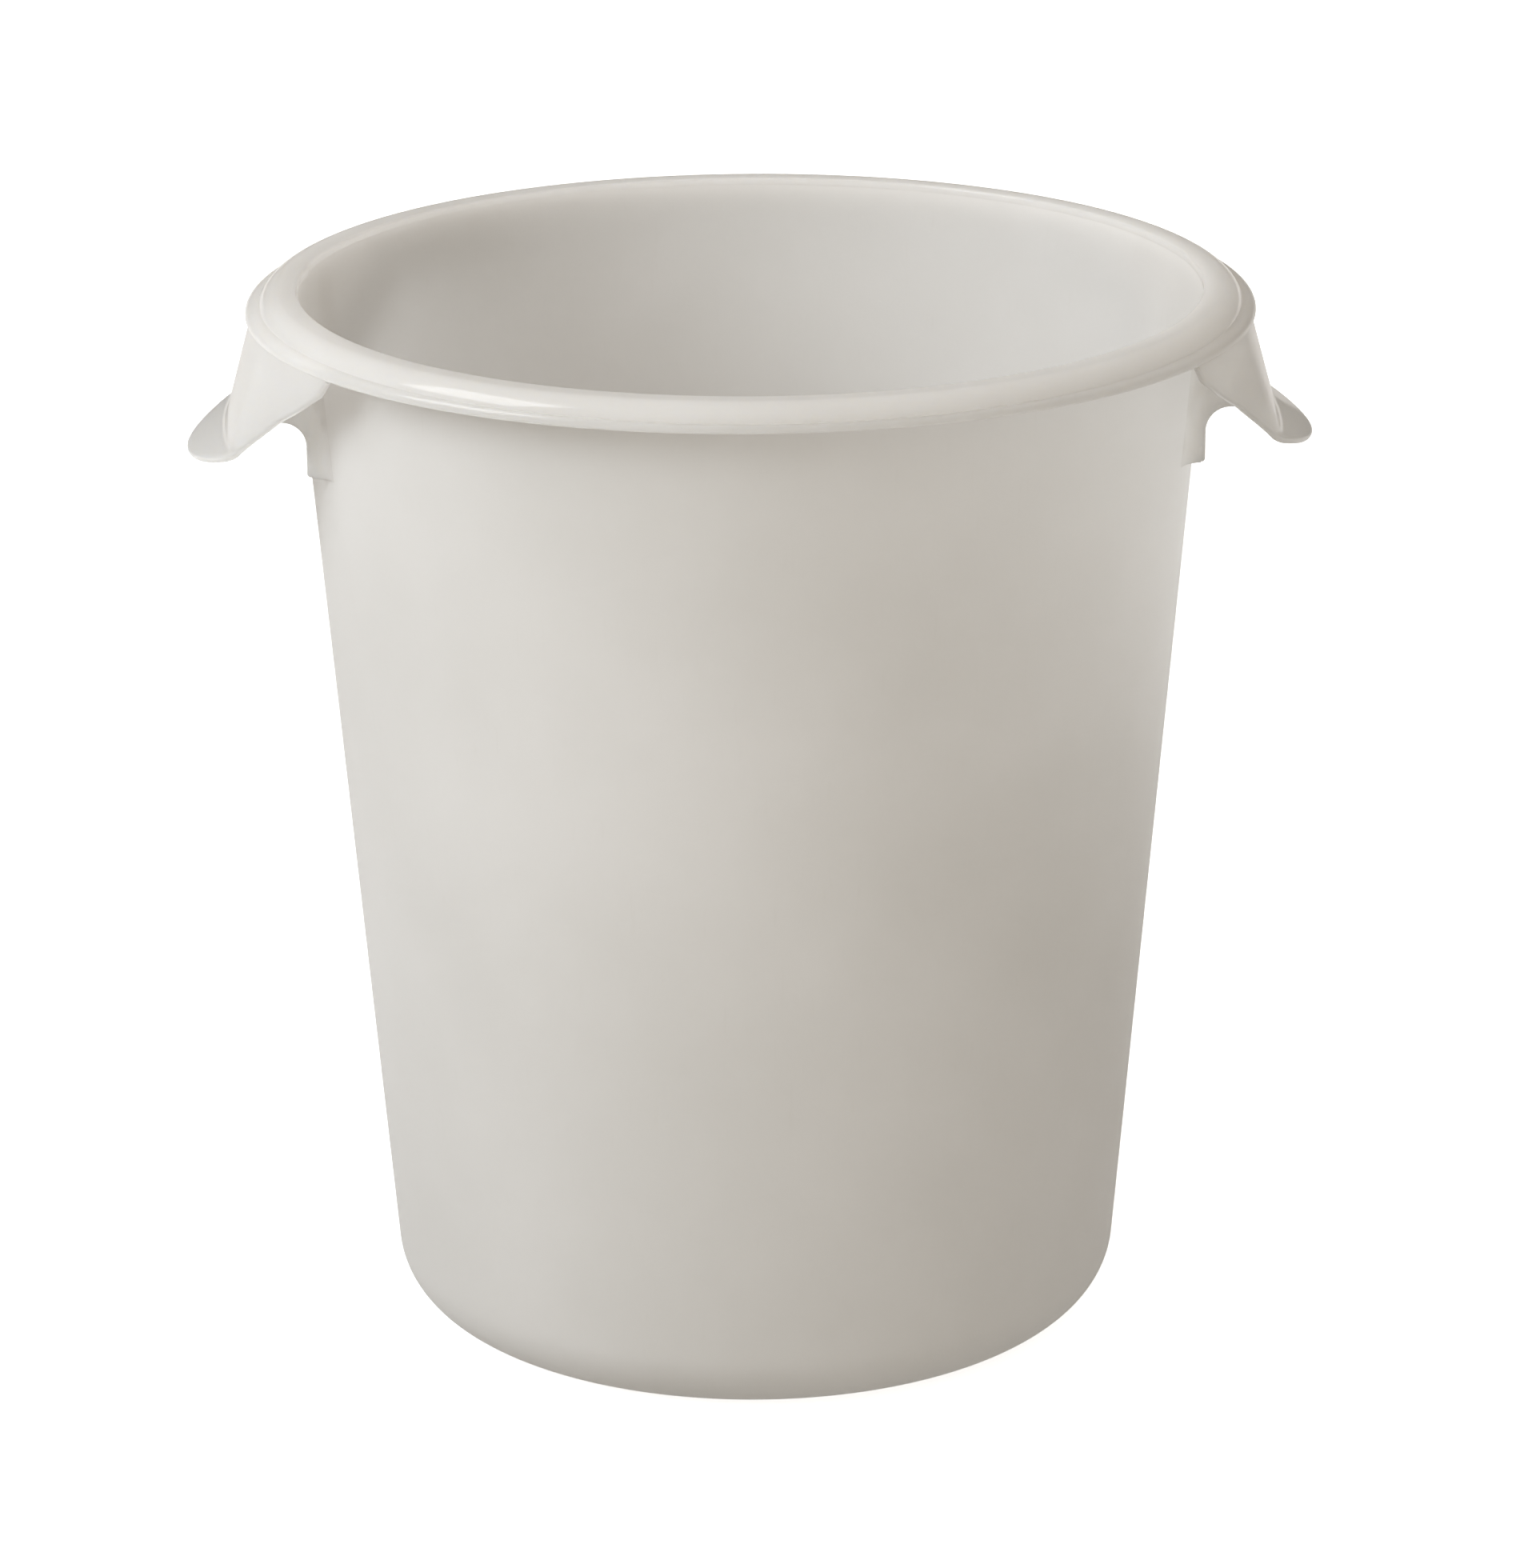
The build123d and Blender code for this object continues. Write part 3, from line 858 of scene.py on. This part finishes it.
def make_camera():
    """Long lens in front and a little above, turned slightly so the left grip comes nearer."""
    yaw, pitch, roll = CAMERA_YAW, CAMERA_PITCH, CAMERA_ROLL
    forward = Vector((sin(yaw) * cos(pitch), cos(yaw) * cos(pitch), -sin(pitch)))
    right = Vector((cos(yaw), -sin(yaw), 0))
    up = right.cross(forward)
    turned_right = right * cos(roll) + up * sin(roll)
    turned_up = up * cos(roll) - right * sin(roll)
    lens = bpy.data.cameras.new("camera")
    lens.sensor_fit = "VERTICAL"
    lens.sensor_height = SENSOR_MM
    lens.lens = LENS_MM
    camera = bpy.data.objects.new("camera", lens)
    rows = [(turned_right[i], turned_up[i], -forward[i], CAMERA_PLACE[i]) for i in range(3)]
    camera.matrix_world = [*rows, (0, 0, 0, 1)]
    camera.matrix_world.transpose()
    bpy.context.scene.collection.objects.link(camera)
    bpy.context.scene.camera = camera


# ---------------------------------------------------------------- assembly
MILKY = ((0.90, 0.888, 0.872), (0.935, 0.924, 0.912))
satin = polyethylene(
    "satin_polyethylene",
    MILKY,
    roughness_range=(0.40, 0.50),
    specular=0.5,
    grain=0.5,
    waviness=0.03,
    see_through=0.65,
    bleed=0.0,
)
glossy = polyethylene(
    "glossy_polyethylene",
    MILKY,
    roughness_range=(0.03, 0.055),
    specular=1.0,
    grain=0.02,
    waviness=0.03,
    see_through=0.68,
    bleed=4 * MM,
)
joint_finish = clear_joint()

columns = grip_columns()
right_grip = {
    "grip_hood": make_grip_hood("right_grip_hood", columns),
    "grip_lip": make_grip_lip("right_grip_lip", columns),
    "grip_front_web": make_grip_web("right_grip_front_web", -1),
    "grip_rear_web": make_grip_web("right_grip_rear_web", 1),
}
shells = {
    "floor_panel": make_floor_panel(),
    "base_ring": make_base_ring(),
    "side_wall": make_side_wall(),
}
shiny = {"rim_crown": make_rim_crown(), "rim_bead": make_rim_bead()}
for part, piece in right_grip.items():
    shiny["right_" + part] = piece
    shiny["left_" + part] = mirrored(piece, "left_" + part)

groups = (("satin_polyethylene", satin, shells), ("glossy_polyethylene", glossy, shiny))
for slot, material, group in groups:
    for node, piece in group.items():
        piece.name = node + "_form"
        piece.data.materials.append(material)
        piece.data.materials.append(joint_finish)
        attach(piece, "root")
        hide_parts(node)

make_stage()
make_world()
for light_name, softbox in SOFTBOXES.items():
    make_softbox(light_name, **softbox)
make_camera()
bpy.context.scene.view_settings.view_transform = "Standard"
